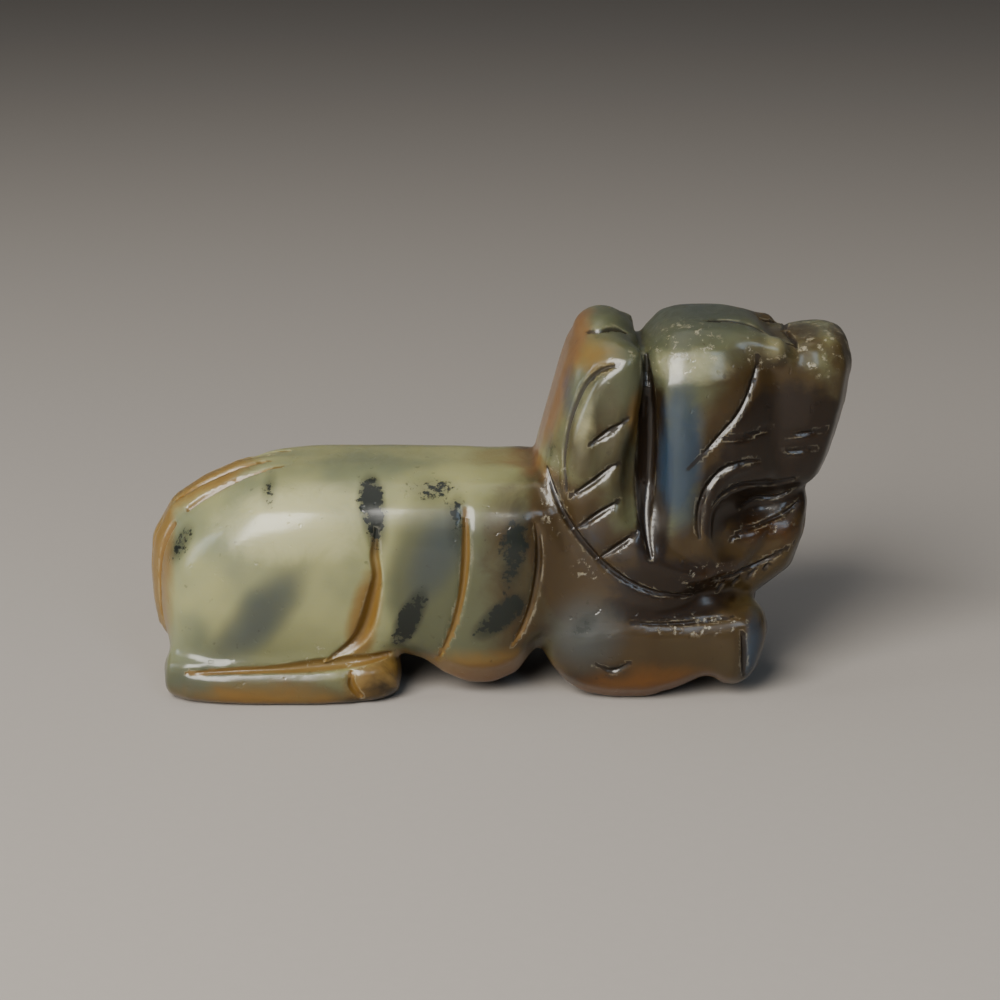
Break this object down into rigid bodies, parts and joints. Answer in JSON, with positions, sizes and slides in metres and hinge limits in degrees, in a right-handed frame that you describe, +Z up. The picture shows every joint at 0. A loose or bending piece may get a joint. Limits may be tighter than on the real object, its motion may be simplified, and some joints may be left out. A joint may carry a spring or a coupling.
{
  "type": "jade dog figurine",
  "caption": "Small solid carved stone dog lying with its chin raised over its forepaws, ears laid along the jowls and tail against the rump.",
  "frame": {"origin": "on the ground under the middle of the dog's bounding box", "axes": "+X the way the dog looks, along its length; +Z up; +Y to the dog's left"},
  "size_m": [0.0657, 0.0208, 0.035],
  "materials": {
    "jade": "polished"
  },
  "bodies": {
    "root": {"jade_dog": "jade"}
  },
  "joints": []
}
